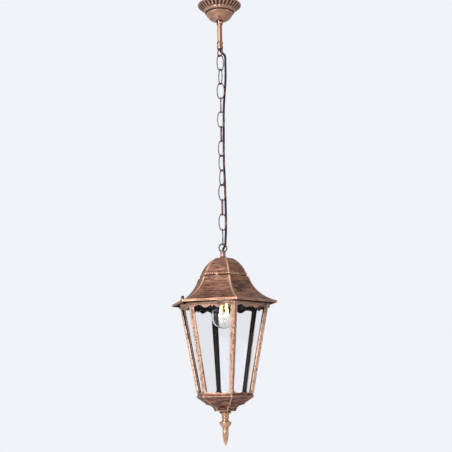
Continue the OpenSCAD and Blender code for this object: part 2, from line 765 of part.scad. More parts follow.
// Top ring of the cage: a moulded six-sided ring, its scalloped aprons, the hinge knuckle and the lug
ring_in_a = cage_top_a - 8;
module top_ring() {
    knuckle_l = ear_gap - 0.6;
    lug_h = 4.5;
    color(COPPER) difference() {
        union() {
            difference() {
                six_sided([
                    [ring_a - 1.2, cage_z], [ring_a, cage_z - 1.2], [ring_a, post_top_z + 1.6],
                    [ring_a - 2.4, post_top_z]
                ]);
                six_sided([[ring_in_a, cage_z + cut], [ring_in_a, post_top_z - cut]]);
            }
            for (i = [0 : 5]) on_face(i) translate([-post_wall, 0, 0]) apron();
            translate([-screw_a, 0, cage_z - lug_h]) cylinder(d = screw_boss_d, h = lug_h);
            translate([-screw_a, -screw_boss_d / 2, cage_z - lug_h])
                cube([screw_a - cage_top_a, screw_boss_d, lug_h]);
            hinge_place() cylinder(d = knuckle_d, h = knuckle_l, center = true);
            translate([cage_top_a, -knuckle_l / 2, post_top_z])
                cube([hinge_a - cage_top_a, knuckle_l, cage_z - 0.6 - post_top_z]);
        }
        translate([-screw_a, 0, cage_z - lug_h - cut])
            cylinder(d = screw_d + 2 * screw_play, h = lug_h + 2 * cut);
        hinge_place() cylinder(d = pin_d + 2 * pin_play, h = pin_l, center = true);
        for (i = [0 : 5]) rotate([0, 0, 60 * i + 30]) translate([ring_screw_r, 0, 0]) {
            translate([0, 0, post_top_z - cut]) cylinder(d = bolt_d + 0.3, h = top_ring_h + 2 * cut);
            translate([0, 0, cage_z - bolt_head_h]) cylinder(d = bolt_head_d + 0.4, h = bolt_head_h + cut);
        }
    }
}

// Children lie in the outer plane of face i: X points out of it, Y along it and Z up it from the posts' top
module on_face(i) {
    rotate([0, 0, 60 * i]) translate([cage_top_a, 0, post_top_z]) rotate([0, face_tilt, 0]) children();
}

// The apron hangs between two posts: an arch beside each post, two round lobes and a pointed drop between
apron_play = 0.9;
apron_half = cage_top_a * tan(30) - post_w / 2 / cos(30) - apron_play;
tooth_w = 3.2;
lobe_w = 22;
valley = 1.4;
function apron_depth(y) =
    y < tooth_w ? valley + (lobe_drop - 1.2 - valley) * (1 - y / tooth_w)
    : y < tooth_w + lobe_w ? valley + (lobe_drop - valley) * sin(180 * (y - tooth_w) / lobe_w)
    : valley + 3 * pow((y - tooth_w - lobe_w) / (apron_half - tooth_w - lobe_w), 3);
module apron() {
    n = 44;
    edge = [for (i = [0 : n]) let (y = apron_half * (2 * i / n - 1)) [y, -apron_depth(abs(y))]];
    rotate([90, 0, 90]) linear_extrude(height = post_wall)
        polygon(concat(edge, [[apron_half, 0.5], [-apron_half, 0.5]]));
}

// A post: two wings meeting at the corner under a round bead, a core, and a flat bar behind the glass
groove = glass_t + 2 * glass_play;
core_w = 4.4;
bar_t = 1.2;
bar_w = 7;
wing_back = post_wall / cos(30);
bar_front = wing_back + groove / cos(30) + bar_w / 2 * tan(30);
post_depth = bar_front + bar_t;
bead_r = 2.4;
bead_out = 0.8;
bolt_d = 2.5;
bolt_head_d = 4.4;
bolt_head_h = 1.6;
bolt_l = 8;
ring_screw_r = corner_top_r - 6;
base_screw_r = corner_foot_r - 5.3;
module post_section() {
    wing = post_w / 2;
    back = [-wing * tan(30) - post_wall * cos(30), wing - post_wall * sin(30)];
    polygon([
        [0, 0], [-wing * tan(30), wing], back, [-wing_back, 0], [back.x, -back.y], [-wing * tan(30), -wing]
    ]);
    translate([bead_out - bead_r, 0]) circle(r = bead_r);
    translate([-post_depth + bar_t / 2, -core_w / 2]) square([post_depth - bar_t / 2 - 1.5, core_w]);
    translate([-post_depth, -bar_w / 2]) square([bar_t, bar_w]);
}

// The wings are cut narrower towards the foot
module post(i) {
    spare = 20;
    length = post_h / cos(corner_tilt);
    color(COPPER) rotate([0, 0, -90 + 60 * i]) difference() {
        intersection() {
            translate([corner_foot_r, 0, post_foot_z]) rotate([0, corner_tilt, 0]) {
                intersection() {
                    translate([0, 0, -spare]) linear_extrude(height = length + 2 * spare) post_section();
                    rotate([90, 0, 90]) linear_extrude(height = 4 * post_depth, center = true) polygon([
                        [-taper_at(-spare), -spare], [taper_at(-spare), -spare],
                        [taper_at(length + spare), length + spare], [-taper_at(length + spare), length + spare]
                    ]);
                }
            }
            translate([0, -brim_a, post_foot_z]) cube([2 * brim_a, 2 * brim_a, post_h]);
        }
        translate([ring_screw_r, 0, post_top_z - bolt_l - 1])
            cylinder(d = bolt_d + 2 * thread_play, h = bolt_l + 1 + cut);
        translate([base_screw_r, 0, post_foot_z - cut])
            cylinder(d = bolt_d + 2 * thread_play, h = bolt_l + cut);
    }
}

// Half the width of a post at a height along it
function taper_at(h) = (post_foot_w + (post_w - post_foot_w) * h * cos(corner_tilt) / post_h) / 2;

module ring_screws() {
    color(STEEL) for (i = [0 : 5]) rotate([0, 0, 60 * i + 30]) translate([ring_screw_r, 0, 0]) {
        translate([0, 0, cage_z - bolt_head_h]) cylinder(d = bolt_head_d, h = bolt_head_h - 0.1);
        translate([0, 0, post_top_z - bolt_l])
            cylinder(d = bolt_d, h = bolt_l + top_ring_h - bolt_head_h + 0.1);
    }
}

// A pane stands in the grooves of its two posts, on the base cup
module glass_pane(i) {
    back = post_wall + glass_play + glass_t;
    drop = back * sin(face_tilt);
    lift = (post_wall + glass_play) * sin(face_tilt);
    top = (-glass_play - drop) / cos(face_tilt);
    foot = (glass_play - post_h - lift) / cos(face_tilt);
    function half_width(z) = (cage_top_a + z * sin(face_tilt) - back / cos(face_tilt)) * tan(30)
        - (core_w / 2 + glass_play) / cos(30);
    color("lightblue", 0.35) on_face(i - 1) translate([-back, 0, 0]) rotate([90, 0, 90])
        linear_extrude(height = glass_t) polygon([
            [-half_width(foot), foot], [half_width(foot), foot], [half_width(top), top], [-half_width(top), top]
        ]);
}

// Base cup: a rim for the posts, a moulded ledge, and a stepped cup below it
rim_plate = 3.5;
module base_cup() {
    top = post_foot_z;
    step = [0.685 * ledge_a, base_z + 16.5];
    waist = [0.505 * ledge_a, base_z + 11.5];
    foot = [0.38 * ledge_a, base_z + 1.2];
    outer = concat(
        [[cage_foot_a - 1, top], [cage_foot_a + 0.6, top - 4.4], [ledge_a, top - 5.2], [ledge_a, top - 7]],
        [step, step - [0.4, 2]],
        arc_between(waist, foot, 14, 6),
        [[foot.x, base_z]]
    );
    inner = [
        [cage_foot_a - 2.2, top - rim_plate], [cage_foot_a - 2.2, top - 6.2],
        step + [-1.8, 2.4], [step.x - 3.4, step.y - 0.4], [waist.x - 3, waist.y + 1.6],
        [foot.x - 2.6, base_z + 3.5]
    ];
    color(COPPER) difference() {
        union() {
            six_sided(outer);
            for (i = [0 : 5]) rotate([0, 0, 60 * i])
                translate([cage_foot_a - 1 - scallop_t, 0, top - 0.5]) low_scallop();
        }
        six_sided(inner);
        six_sided([[cage_foot_a - 13.5, top + cut], [cage_foot_a - 13.5, top - rim_plate - cut]]);
        translate([0, 0, base_z - cut]) cylinder(d = stud_d + 0.3, h = 6);
        for (i = [0 : 5]) rotate([0, 0, 60 * i + 30]) translate([base_screw_r, 0, top - rim_plate - cut])
            cylinder(d = bolt_d + 0.3, h = rim_plate + 2 * cut);
    }
}

// A low scalloped edge in front of the foot of each pane, clear of the pane that leans out above it
scallop_h = 3;
scallop_t = (post_wall + glass_play) / cos(face_tilt) - (scallop_h + 0.2) * face_slope - 1 - 0.2;
scallop_half = cage_foot_a * tan(30) - post_foot_w / 2 / cos(30) - 1.6;
module low_scallop() {
    n = 30;
    edge = [
        for (i = [0 : n]) let (y = scallop_half * (1 - 2 * i / n))
            [y, 0.5 + 1.2 * (1 - abs(y) / scallop_half) + 1.3 * abs(cos(270 * y / scallop_half))]
    ];
    rotate([90, 0, 90]) linear_extrude(height = scallop_t)
        polygon(concat([[-scallop_half, 0], [scallop_half, 0]], edge));
}

module base_screws() {
    top = post_foot_z - rim_plate;
    color(STEEL) for (i = [0 : 5]) rotate([0, 0, 60 * i + 30]) translate([base_screw_r, 0, 0]) {
        translate([0, 0, top - bolt_head_h]) cylinder(d = bolt_head_d, h = bolt_head_h);
        translate([0, 0, top - 0.1]) cylinder(d = bolt_d, h = rim_plate + bolt_l - 1);
    }
}

// Finial: turned in one with its stud, from the disc under the cup to the point
module finial() {
    r = finial_r;
    function at(z) = base_z - z * finial_l / 74;
    outline = concat(
        [[0, at(0)], [0.8 * r, at(0)], [r, at(1.6)], [r, at(3.4)], [0.84 * r, at(4.4)]],
        arc_between([0.8 * r, at(4.8)], [0.53 * r, at(11)], 9, 5),
        [[0.6 * r, at(12)], [0.6 * r, at(14.6)], [0.5 * r, at(16)]],
        arc_between([0.48 * r, at(17)], [0.94 * r, at(23)], 7, 5),
        [[0.97 * r, at(24.2)], [0.97 * r, at(26)]],
        arc_between([0.93 * r, at(27)], [0.47 * r, at(35)], -22, 5),
        [[0.45 * r, at(36)], [0.5 * r, at(36.8)], [0.5 * r, at(38.2)], [0.46 * r, at(39)]],
        arc_between([0.46 * r, at(40)], [0.43 * r, at(56)], -50, 4),
        arc_between([0.42 * r, at(57)], [0.6, at(73.4)], -50, 4),
        [[0, at(74)]]
    );
    color(COPPER) {
        turned(outline);
        translate([0, 0, base_z - cut]) cylinder(d = stud_d, h = 12 + cut);
    }
}

module finial_nut() {
    color(STEEL) hex_nut(stud_d + 4, stud_d + 2 * thread_play, base_z + 3.5 + nut_h, nut_h);
}

ceiling_bracket();
stem();
stem_nuts();
terminal_block();
top_loop();
canopy();
canopy_collar();
collar_screw();
for (i = [0 : links - 1]) chain_link(i);
supply_cable();
lantern_loop();
shank_nuts();
roof_cap();
roof();
bridge_strap();
lampholder();
bulb_cap();
bulb_glass();
bulb_stem();
bulb_filaments();
hinge_pin();
thumb_screw();
top_ring();
ring_screws();
for (i = [0 : 5]) post(i);
for (i = [0 : 5]) glass_pane(i);
base_cup();
base_screws();
finial();
finial_nut();
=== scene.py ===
# %% [markdown]
# # A hanging garden lantern in antique copper
#
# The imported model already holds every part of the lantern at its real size: canopy, stem, chain,
# roof, cage, base and finial. This script gives those parts their finish, models what a turned or
# bent solid leaves plain, and photographs the whole in a pale studio.
# Everything is in metres, with the origin on the ceiling and the lantern hanging below it.

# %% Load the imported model
import json
import math
import bpy
from mathutils import Matrix, Vector

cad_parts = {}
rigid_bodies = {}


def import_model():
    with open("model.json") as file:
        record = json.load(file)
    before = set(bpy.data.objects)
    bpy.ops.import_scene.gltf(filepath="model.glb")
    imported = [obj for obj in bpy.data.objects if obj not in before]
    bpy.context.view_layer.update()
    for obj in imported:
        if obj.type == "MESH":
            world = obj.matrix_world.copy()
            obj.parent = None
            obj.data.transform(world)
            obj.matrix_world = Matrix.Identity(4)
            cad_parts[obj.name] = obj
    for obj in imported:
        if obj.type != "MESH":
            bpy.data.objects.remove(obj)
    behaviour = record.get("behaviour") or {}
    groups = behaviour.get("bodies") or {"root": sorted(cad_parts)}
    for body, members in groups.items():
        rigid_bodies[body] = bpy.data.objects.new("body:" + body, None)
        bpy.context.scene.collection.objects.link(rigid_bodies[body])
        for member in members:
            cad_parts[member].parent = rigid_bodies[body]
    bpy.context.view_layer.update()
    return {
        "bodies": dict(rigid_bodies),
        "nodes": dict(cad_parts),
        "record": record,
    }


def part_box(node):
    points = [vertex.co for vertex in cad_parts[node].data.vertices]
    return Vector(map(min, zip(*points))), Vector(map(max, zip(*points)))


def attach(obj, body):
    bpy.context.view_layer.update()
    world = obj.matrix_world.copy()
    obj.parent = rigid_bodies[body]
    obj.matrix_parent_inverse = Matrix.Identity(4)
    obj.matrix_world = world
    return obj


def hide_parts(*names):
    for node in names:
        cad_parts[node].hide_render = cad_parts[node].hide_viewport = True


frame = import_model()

scene = bpy.context.scene
lantern_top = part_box("roof_cap")[1].z
lantern_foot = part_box("finial")[0].z
print("lantern from", round(lantern_top, 4), "to", round(lantern_foot, 4))

# %% [markdown]
# ## The camera
#
# A lantern is photographed from a little below, so that the scalloped edge under the roof shows.
# The photographer stood about two metres away and turned the lantern until one post came almost to
# the front. A long lens keeps the posts nearly straight.
# A camera needs three directions of its own: to the right, up, and back towards the photographer.
# Writing these three as the columns of a matrix is plainer than guessing three Euler angles.

# %% Camera
SENSOR = 36.0
LENS = 77.07
DISTANCE = 2.119
EYE_HEIGHT = -0.911
SIDESTEP = 0.0076
TURN = math.radians(13.35)
PITCH = math.radians(10.4)
ROLL = math.radians(0.87)
FARTHEST = 50

ahead = Vector((math.sin(TURN), math.cos(TURN), 0))
sideways = Vector((math.cos(TURN), -math.sin(TURN), 0))
view = ahead * math.cos(PITCH) + Vector((0, 0, math.sin(PITCH)))
upright = Vector((0, 0, math.cos(PITCH))) - ahead * math.sin(PITCH)
right = sideways * math.cos(ROLL) - upright * math.sin(ROLL)
up = sideways * math.sin(ROLL) + upright * math.cos(ROLL)
place = sideways * SIDESTEP - ahead * DISTANCE + Vector((0, 0, EYE_HEIGHT))
axes = Matrix((right, up, -view)).transposed()
bpy.ops.object.camera_add(location=place, rotation=axes.to_euler())
camera = bpy.context.object
camera.name = "studio_camera"
camera.data.lens = LENS
camera.data.sensor_width = SENSOR
camera.data.clip_end = FARTHEST
scene.camera = camera
print("camera at", [round(v, 3) for v in camera.location])

# %% [markdown]
# ## The supply cable
#
# A round black cable leaves the coupling on the stem, hangs beside the chain and goes into the
# lantern's neck. It is limp and much longer than it is thick, so a curve with a round bevel is the
# natural tool: the same control points that the part's source lists, and a smooth NURBS through them.
# When the chain swings the cable has to follow. Each control point is therefore hooked to the chain
# link beside it, which bends the cable with the chain and leaves both of its ends in their holes.
# A route with one point per link would cut across every corner of the bent chain, so the route is
# first subdivided twice. That leaves the curve as it is and puts about four points beside each link.
# The thickness is given by each point's radius, with a bevel depth of one metre to be scaled by it,
# because Blender counts the points' radius in the curve's box.

# %% Cable route and curve
MM = 0.001
CABLE_D = 5.2 * MM
CABLE_ROUTE = [
    (0, 0, -104), (0, 0, -107.5), (0.7, -0.1, -111.6), (2.7, -0.5, -115.2), (5.9, -1, -117.8),
    (9, -1.6, -120.5), (11, -1.9, -124.1), (11.7, -2, -128.2), (11.7, -2, -134),
    (11.6, -2, -143), (11.9, -1.6, -157), (12.1, -0.4, -180), (10.4, 2.8, -208), (7.8, 4.4, -242),
    (7, 4.4, -276), (7, 4.8, -310), (6.6, 6.4, -344), (7.4, 9.1, -378), (8.2, 7.3, -412),
    (8.8, 6.5, -446), (9, 5.1, -480), (9.1, 4.8, -512), (8.8, 5.9, -534), (8.3, 7.2, -548),
    (7.8, 7.8, -556), (7.8, 7.8, -559.7), (7.4, 7.4, -563.4), (6, 6, -566.8), (3.9, 3.9, -569.2),
    (1.8, 1.8, -571.7), (0.5, 0.5, -575), (0, 0, -578.8), (0, 0, -582.5),
]
SUBDIVISIONS = 2
CUBIC = 4


def subdivided(points):
    """Twice as many control points for the same cubic B-spline: middles, and softened originals."""
    finer = [points[0]]
    for before, here, after in zip(points, points[1:], points[2:]):
        finer += [(before + here) / 2, before / 8 + here * 3 / 4 + after / 8]
    return finer + [(points[-2] + points[-1]) / 2, points[-1]]


route = [Vector(point) for point in CABLE_ROUTE]
for _ in range(SUBDIVISIONS):
    route = subdivided(route)
curve = bpy.data.curves.new("supply_cable_line", "CURVE")
curve.dimensions = "3D"
curve.bevel_depth = 1.0  # times each point's radius
curve.bevel_resolution = 5
curve.use_fill_caps = True
spline = curve.splines.new("NURBS")
spline.points.add(len(route) - 1)
for point, spot in zip(spline.points, route):
    point.co = (*(spot * MM), 1)
    point.radius = CABLE_D / 2
spline.order_u = CUBIC
spline.use_endpoint_u = True
spline.resolution_u = 2
cable = bpy.data.objects.new("supply_cable_sheath", curve)
scene.collection.objects.link(cable)


# %% Hook the cable to the chain
LINKS = 13
RING_TOP = -561.1 * MM
FIRST_LINK_HOLDS = 6 * MM
NECK_HOLDS = 4 * MM
chain_bodies = [f"chain_{i}" for i in range(1, LINKS + 1)]
crown_heights = [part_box(f"link_{i}")[1].z for i in range(1, LINKS + 1)]
owners = {}
for index, spot in enumerate(route):
    height = spot.z * MM
    if height > crown_heights[0] - FIRST_LINK_HOLDS:
        owner = "ceiling_mount"
    elif height < RING_TOP - NECK_HOLDS:
        owner = "lantern"
    else:
        owner = chain_bodies[sum(height < crown for crown in crown_heights) - 1]
    owners.setdefault(owner, []).append(index)
for owner, indices in owners.items():
    hook = cable.modifiers.new("follow_" + owner, "HOOK")
    hook.object = frame["bodies"][owner]
    hook.matrix_inverse = frame["bodies"][owner].matrix_world.inverted()
    hook.falloff_type = "NONE"
    hook.vertex_indices_set(indices)
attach(cable, "ceiling_mount")
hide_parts("supply_cable")

# %% [markdown]
# ## Small tools for materials
#
# Most finishes here are one metallic lacquer seen under different brushes. A material is built from
# a few nodes: object coordinates, a mapping that stretches them, noise, and a colour ramp. The
# stretch decides the brush: wide in X and Y and tight in Z gives level streaks, equal sizes give
# blotches. A few short helpers keep each recipe readable.

# %% Node helpers


def new_material(name):
    """An empty material with its shader and output, and the tools to add to it."""
    material = bpy.data.materials.new(name)
    material.use_nodes = True
    nodes = material.node_tree.nodes
    nodes.clear()
    shader = nodes.new("ShaderNodeBsdfPrincipled")
    output = nodes.new("ShaderNodeOutputMaterial")
    material.node_tree.links.new(shader.outputs["BSDF"], output.inputs["Surface"])
    return material, shader


def add(material, kind, inputs=None, **settings):
    """One node, with its settings, and its inputs given as values or as sockets of other nodes."""
    node = material.node_tree.nodes.new(kind)
    for key, value in settings.items():
        setattr(node, key, value)
    for key, value in (inputs or {}).items():
        if isinstance(value, bpy.types.NodeSocket):
            material.node_tree.links.new(value, node.inputs[key])
        else:
            node.inputs[key].default_value = value
    return node


def plug(material, source, target):
    """A link from one socket to another."""
    material.node_tree.links.new(source, target)


def object_place(material):
    """The shaded point in the lantern's own coordinates."""
    return add(material, "ShaderNodeTexCoord").outputs["Object"]


def noise(material, stretch, detail, roughness):
    """Noise on object coordinates; the stretch is how often it repeats in a metre each way."""
    mapping = add(material, "ShaderNodeMapping", {"Vector": object_place(material), "Scale": stretch})
    node = add(material, "ShaderNodeTexNoise", {"Vector": mapping.outputs["Vector"], "Scale": 1.0,
                                                "Detail": detail, "Roughness": roughness})
    return node.outputs["Fac"]


def calculate(material, operation, *values):
    """The result of one sum, product or other operation on plain numbers or sockets."""
    return add(material, "ShaderNodeMath", dict(enumerate(values)), operation=operation).outputs[0]


def share_between(material, value, low, high, at_low, at_high):
    """A share that goes from at_low to at_high while the value goes from low to high."""
    node = add(material, "ShaderNodeMapRange", {"Value": value, "From Min": low, "From Max": high,
                                                "To Min": at_low, "To Max": at_high})
    return node.outputs["Result"]


def ramp(material, value, stops):
    """A colour ramp from (position, colour) pairs; a colour may be one grey number."""
    node = add(material, "ShaderNodeValToRGB", {"Fac": value})
    elements = node.color_ramp.elements
    while len(elements) < len(stops):
        elements.new(0.5)
    for element, (position, colour) in zip(elements, stops):
        element.position = position
        if isinstance(colour, (int, float)):
            colour = (colour, colour, colour)
        element.color = (*colour, 1)
    return node.outputs["Color"]


def mix(material, factor, first, second, blend="MIX"):
    """Two colours mixed by a factor; each may be a socket or a plain value."""
    first, second = (value if isinstance(value, bpy.types.NodeSocket) else (*value, 1)
                     for value in (first, second))
    node = add(material, "ShaderNodeMix", {0: factor, 6: first, 7: second},
               data_type="RGBA", blend_type=blend)
    return node.outputs[2]


def bump(material, shader, height, strength, distance):
    """Relief in the shader's normal, as deep as the distance where the height is one."""
    node = add(material, "ShaderNodeBump", {"Height": height, "Strength": strength, "Distance": distance})
    plug(material, node.outputs["Normal"], shader.inputs["Normal"])


# %% [markdown]
# ## Antique copper
#
# The castings are aluminium with a nearly black lacquer, over which a dry brush has dragged copper
# paint. The dark ground stays between the bristles and in every hollow, and the copper gathers on
# ridges and edges. The recipe follows the painter's order: copper broken by dark streaks that run the
# way the brush went, then small light patches that are painted highlights, then light copper on the
# edges and hips that is partly that copper and partly painted highlight, then dark in the hollows that
# is partly the dark ground and partly painted shade.
# Edges are found with the Bevel node, whose rounded normal differs from the true one only near an
# edge. Hollows are found with the Ambient Occlusion node, which knows how shut in a point is.

# %% Antique copper, streaks and edges
CLOUD_STRETCH = (24, 24, 30)
CLOUD_PART = 0.35
FINER = 2.3
SPECKLE_STRETCH = (380, 380, 260)
BRUSH_DEPTH = 0.4 * MM
HIP_STRENGTH = 0.72


def brushed_ground(material, copper, dark, stretch, cover):
    """Copper dragged over a dark ground: thin streaks, thinned out further in slow clouds."""
    streak = noise(material, stretch, 6.0, 0.68)
    cloud = noise(material, CLOUD_STRETCH, 3.0, 0.5)
    amount = mix(material, CLOUD_PART, streak, cloud)
    shown = ramp(material, amount, [(cover[0], 0.0), (cover[1], 1.0)])
    return mix(material, shown, dark, copper), streak


def edge_copper_and_highlight(material, radius, share):
    """One on a sharp edge, nothing a radius away from it."""
    rounded = add(material, "ShaderNodeBevel", {"Radius": radius}, samples=4)
    geometry = add(material, "ShaderNodeNewGeometry")
    facing = add(material, "ShaderNodeVectorMath", {0: rounded.outputs[0], 1: geometry.outputs["Normal"]},
                 operation="DOT_PRODUCT")
    return ramp(material, facing.outputs["Value"], [(0.88, share), (0.99, 0.0)])


def hollow_dark_and_shade(material, reach, share, limits):
    """Nearly one deep in a groove or a corner, nothing on an open face."""
    shut_in = add(material, "ShaderNodeAmbientOcclusion", {"Distance": reach}, samples=6)
    return ramp(material, shut_in.outputs["AO"], [(limits[0], share), (limits[1], 0.0)])


def hip_copper_and_highlight(material, half_width, streak):
    """One along the six hips, which lie in three upright planes through the lantern's axis."""
    place = object_place(material)
    distances = []
    for angle in (0, 60, 120):
        across = (math.cos(math.radians(angle)), math.sin(math.radians(angle)), 0)
        side = add(material, "ShaderNodeVectorMath", {0: place, 1: across}, operation="DOT_PRODUCT")
        distances.append(calculate(material, "ABSOLUTE", side.outputs["Value"]))
    nearest = calculate(material, "MINIMUM", calculate(material, "MINIMUM", *distances[:2]), distances[2])
    ragged = calculate(material, "MULTIPLY_ADD", streak, 1.6 * half_width, nearest)
    return share_between(material, ragged, 1.4 * half_width, 2.3 * half_width, HIP_STRENGTH, 0.0)


def turned_share(material, depth, stops):
    """A share that changes with the height below the ceiling, in parts of the depth."""
    height = add(material, "ShaderNodeSeparateXYZ", {0: object_place(material)}).outputs["Z"]
    return ramp(material, calculate(material, "DIVIDE", height, -depth), stops)


def flute_share(material, count):
    """One in the middle of each flute round the axis, nothing on the ridges between them."""
    parts = add(material, "ShaderNodeSeparateXYZ", {0: object_place(material)})
    around = calculate(material, "ARCTAN2", parts.outputs["Y"], parts.outputs["X"])
    wave = calculate(material, "COSINE", calculate(material, "MULTIPLY", around, count))
    return share_between(material, wave, -0.55, 0.25, 0.0, 1.0)


def antique_copper(name, copper, light, stretch, cover=(0.42, 0.56), metal=0.5, rough=0.4,
                   edge=0.002, edges=0.8, hollow=0.005, hollows=0.9, limits=(0.35, 0.8), hips=0.0,
                   speckle=0.0, relief=0.4, dark=(0.05, 0.02, 0.018), shadow=None):
    """The painter's layers from the dark ground up, with painted highlights and painted shade among them.
    Lengths are in metres, shares from 0 to 1.
    """
    material, shader = new_material(name)
    ground, streak = brushed_ground(material, copper, dark, stretch, cover)
    fine = noise(material, [FINER * s for s in stretch], 3.0, 0.6)
    # Small random patches of light copper: painted highlights.
    lit = mix(material, ramp(material, fine, [(0.48, 0.0), (0.66, 0.55)]), ground, light)
    # Light copper on the edges: partly copper gathered there, partly painted highlight.
    colour = mix(material, edge_copper_and_highlight(material, edge, edges), lit, light)
    # Light copper along the hips: partly brushed copper, partly painted highlight.
    if hips:
        colour = mix(material, hip_copper_and_highlight(material, hips, streak), colour, light)
    # Dark in the hollows: partly the dark ground left there, partly painted shade.
    colour = mix(material, hollow_dark_and_shade(material, hollow, hollows, limits), colour, dark)
    # Painted shade that the caller gives, as in the canopy's flutes and groove.
    if shadow:
        colour = mix(material, shadow(material), colour, dark)
    if speckle:
        spots = noise(material, SPECKLE_STRETCH, 2.0, 0.6)
        colour = mix(material, ramp(material, spots, [(0.54, 0.0), (0.63, speckle)]), colour, dark)
    plug(material, colour, shader.inputs["Base Color"])
    shader.inputs["Metallic"].default_value = metal
    plug(material, ramp(material, streak, [(0.3, rough + 0.35 * relief), (0.7, rough - 0.2 * relief)]),
         shader.inputs["Roughness"])
    bump(material, shader, streak, relief, BRUSH_DEPTH)
    return material


roof_finish = antique_copper("roof_copper", (0.45, 0.19, 0.12), (0.86, 0.52, 0.36), (28, 28, 560),
                             (0.43, 0.6), rough=0.52, edge=0.004, hips=0.002)
base_finish = antique_copper("base_copper", (0.30, 0.115, 0.085), (0.82, 0.46, 0.31), (30, 30, 300),
                             (0.44, 0.58), edge=0.003, hips=0.0015)
post_finish = antique_copper("post_copper", (0.80, 0.44, 0.30), (1.0, 0.82, 0.66), (170, 170, 50),
                             (0.34, 0.47), metal=0.3, edge=0.0014, edges=0.7, hollow=0.003, speckle=0.9)
ring_finish = antique_copper("ring_copper", (0.70, 0.36, 0.24), (1.0, 0.76, 0.60), (90, 90, 90),
                             (0.36, 0.5), metal=0.4, edge=0.0014, edges=0.8, hollow=0.003, speckle=0.7)
finial_finish = antique_copper("finial_copper", (0.84, 0.46, 0.29), (1.0, 0.76, 0.58), (60, 60, 90),
                               (0.2, 0.32), rough=0.22, metal=0.72, edge=0.0012, hollow=0.007,
                               hollows=1.0, limits=(0.6, 0.95), relief=0.03)


CANOPY_H = 40 * MM
FLUTES = 30
# Where the canopy's painted shade lies, in parts of its height: the flutes' slope, then the groove.
SLOPE = [(0.07, 0.0), (0.11, 0.95), (0.29, 0.9), (0.36, 0.0)]
GROOVE = [(0.485, 0.0), (0.505, 0.95), (0.54, 0.95), (0.565, 0.0)]


def canopy_painted_shade(material):
    """Painted shade in the canopy's flutes and in the groove above its bowl."""
    slope = turned_share(material, CANOPY_H, SLOPE)
    flutes = mix(material, 1.0, flute_share(material, FLUTES), slope, "MULTIPLY")
    groove = turned_share(material, CANOPY_H, GROOVE)
    return mix(material, 1.0, flutes, groove, "ADD")


canopy_finish = antique_copper("canopy_copper", (0.62, 0.32, 0.22), (0.98, 0.72, 0.6), (26, 26, 90),
                               (0.18, 0.32), rough=0.2, metal=0.72, edge=0.0012, hollow=0.008,
                               hollows=1.0, limits=(0.55, 0.85), relief=0.03, shadow=canopy_painted_shade)
stem_finish = antique_copper("stem_copper", (0.42, 0.22, 0.15), (0.5, 0.3, 0.22), (70, 70, 30),
                             (0.2, 0.32), rough=0.3, metal=0.7, edge=0.001, hollows=1.0,
                             limits=(0.5, 0.92), relief=0.04)
chain_finish = antique_copper("chain_copper", (0.17, 0.085, 0.07), (0.55, 0.32, 0.26), (160, 160, 70),
                              (0.42, 0.56), rough=0.34, metal=0.7, edge=0.0005, edges=0.1,
                              relief=0.1, dark=(0.03, 0.014, 0.013))
print("copper finishes", sum(material.name.endswith("_copper") for material in bpy.data.materials))

# %% [markdown]
# ## Plain finishes
#
# Screws, rubber and porcelain need only one colour each, and so do the faces of the castings that look
# towards the lantern's axis, which are near black. Each has a faint cloud of a darker tone in it.

# %% Plain finishes
TONE_STRETCH = (120, 120, 120)
DARKER = 0.8
GRAIN_DEPTH = 0.2 * MM


def plain(name, colour, metal, rough, grain=0.0):
    """A simple finish with a faint change of tone, so that no surface is one flat colour."""
    material, shader = new_material(name)
    tone = noise(material, TONE_STRETCH, 3.0, 0.5)
    darker = tuple(c * DARKER for c in colour)
    plug(material, mix(material, tone, darker, colour), shader.inputs["Base Color"])
    shader.inputs["Metallic"].default_value = metal
    shader.inputs["Roughness"].default_value = rough
    if grain:
        bump(material, shader, tone, grain, GRAIN_DEPTH)
    return material


steel_finish = plain("zinc_steel", (0.62, 0.62, 0.64), 0.9, 0.35, 0.2)
dark_finish = plain("dark_lacquer", (0.07, 0.04, 0.033), 0.5, 0.4, 0.2)
rubber_finish = plain("black_rubber", (0.006, 0.005, 0.006), 0.0, 0.6, 0.15)
porcelain_finish = plain("white_porcelain", (0.82, 0.81, 0.78), 0.0, 0.12)
plastic_finish = plain("white_plastic", (0.8, 0.8, 0.77), 0.0, 0.4)
nickel_finish = plain("nickel_cap", (0.72, 0.69, 0.62), 0.95, 0.25, 0.2)
cable.data.materials.append(rubber_finish)
inner_black = plain("inner_black", (0.012, 0.010, 0.012), 0.0, 0.6)
print("plain finishes: steel, dark lacquer, rubber, porcelain, plastic, nickel, inner black")

# %% [markdown]
# ## Glass
#
# The bulb is real glass, which bends what is behind it. The panes are flat and thin, so what they
# show is nearly what is behind them. They are a mirror that is almost wholly cut away by its alpha,
# which keeps the black posts behind them black.

# %% Glass


GLASS_IOR = 1.45


def set_shader(shader, colour, **shares):
    """The base colour and other inputs of a shader; an underscore in a name stands for a space."""
    shader.inputs["Base Color"].default_value = (*colour, 1)
    for name, value in shares.items():
        shader.inputs[name.replace("_", " ")].default_value = value


def glass(name, colour, alpha):
    """Clear glass that bends what is seen through it."""
    material, shader = new_material(name)
    set_shader(shader, colour, Roughness=0.0, IOR=GLASS_IOR, Transmission_Weight=1.0, Alpha=alpha)
    return material


pane_finish, pane_shader = new_material("pane_glass")
set_shader(pane_shader, (0.08, 0.09, 0.14), Metallic=1.0, Roughness=0.03, Alpha=0.035)
bulb_finish = glass("bulb_glass_clear", (0.97, 0.97, 0.96), 1.0)
bulb_stem_finish = glass("bulb_stem_glass", (0.95, 0.96, 0.96), 0.6)
filament_finish, filament_shader = new_material("lit_filament")
set_shader(filament_shader, (1, 0.75, 0.35), Emission_Color=(1.0, 0.72, 0.30, 1), Emission_Strength=10.0)
print("glass finishes: panes, bulb, bulb stem; and the lit filament")

# %% [markdown]
# ## Dressing the castings
#
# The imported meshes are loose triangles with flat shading, which shows every step of a curved skirt.
# A copy with its corners welded and its flat triangles joined into whole faces can be shaded smooth
# up to its sharp edges. The copy stands where the part was and replaces it.

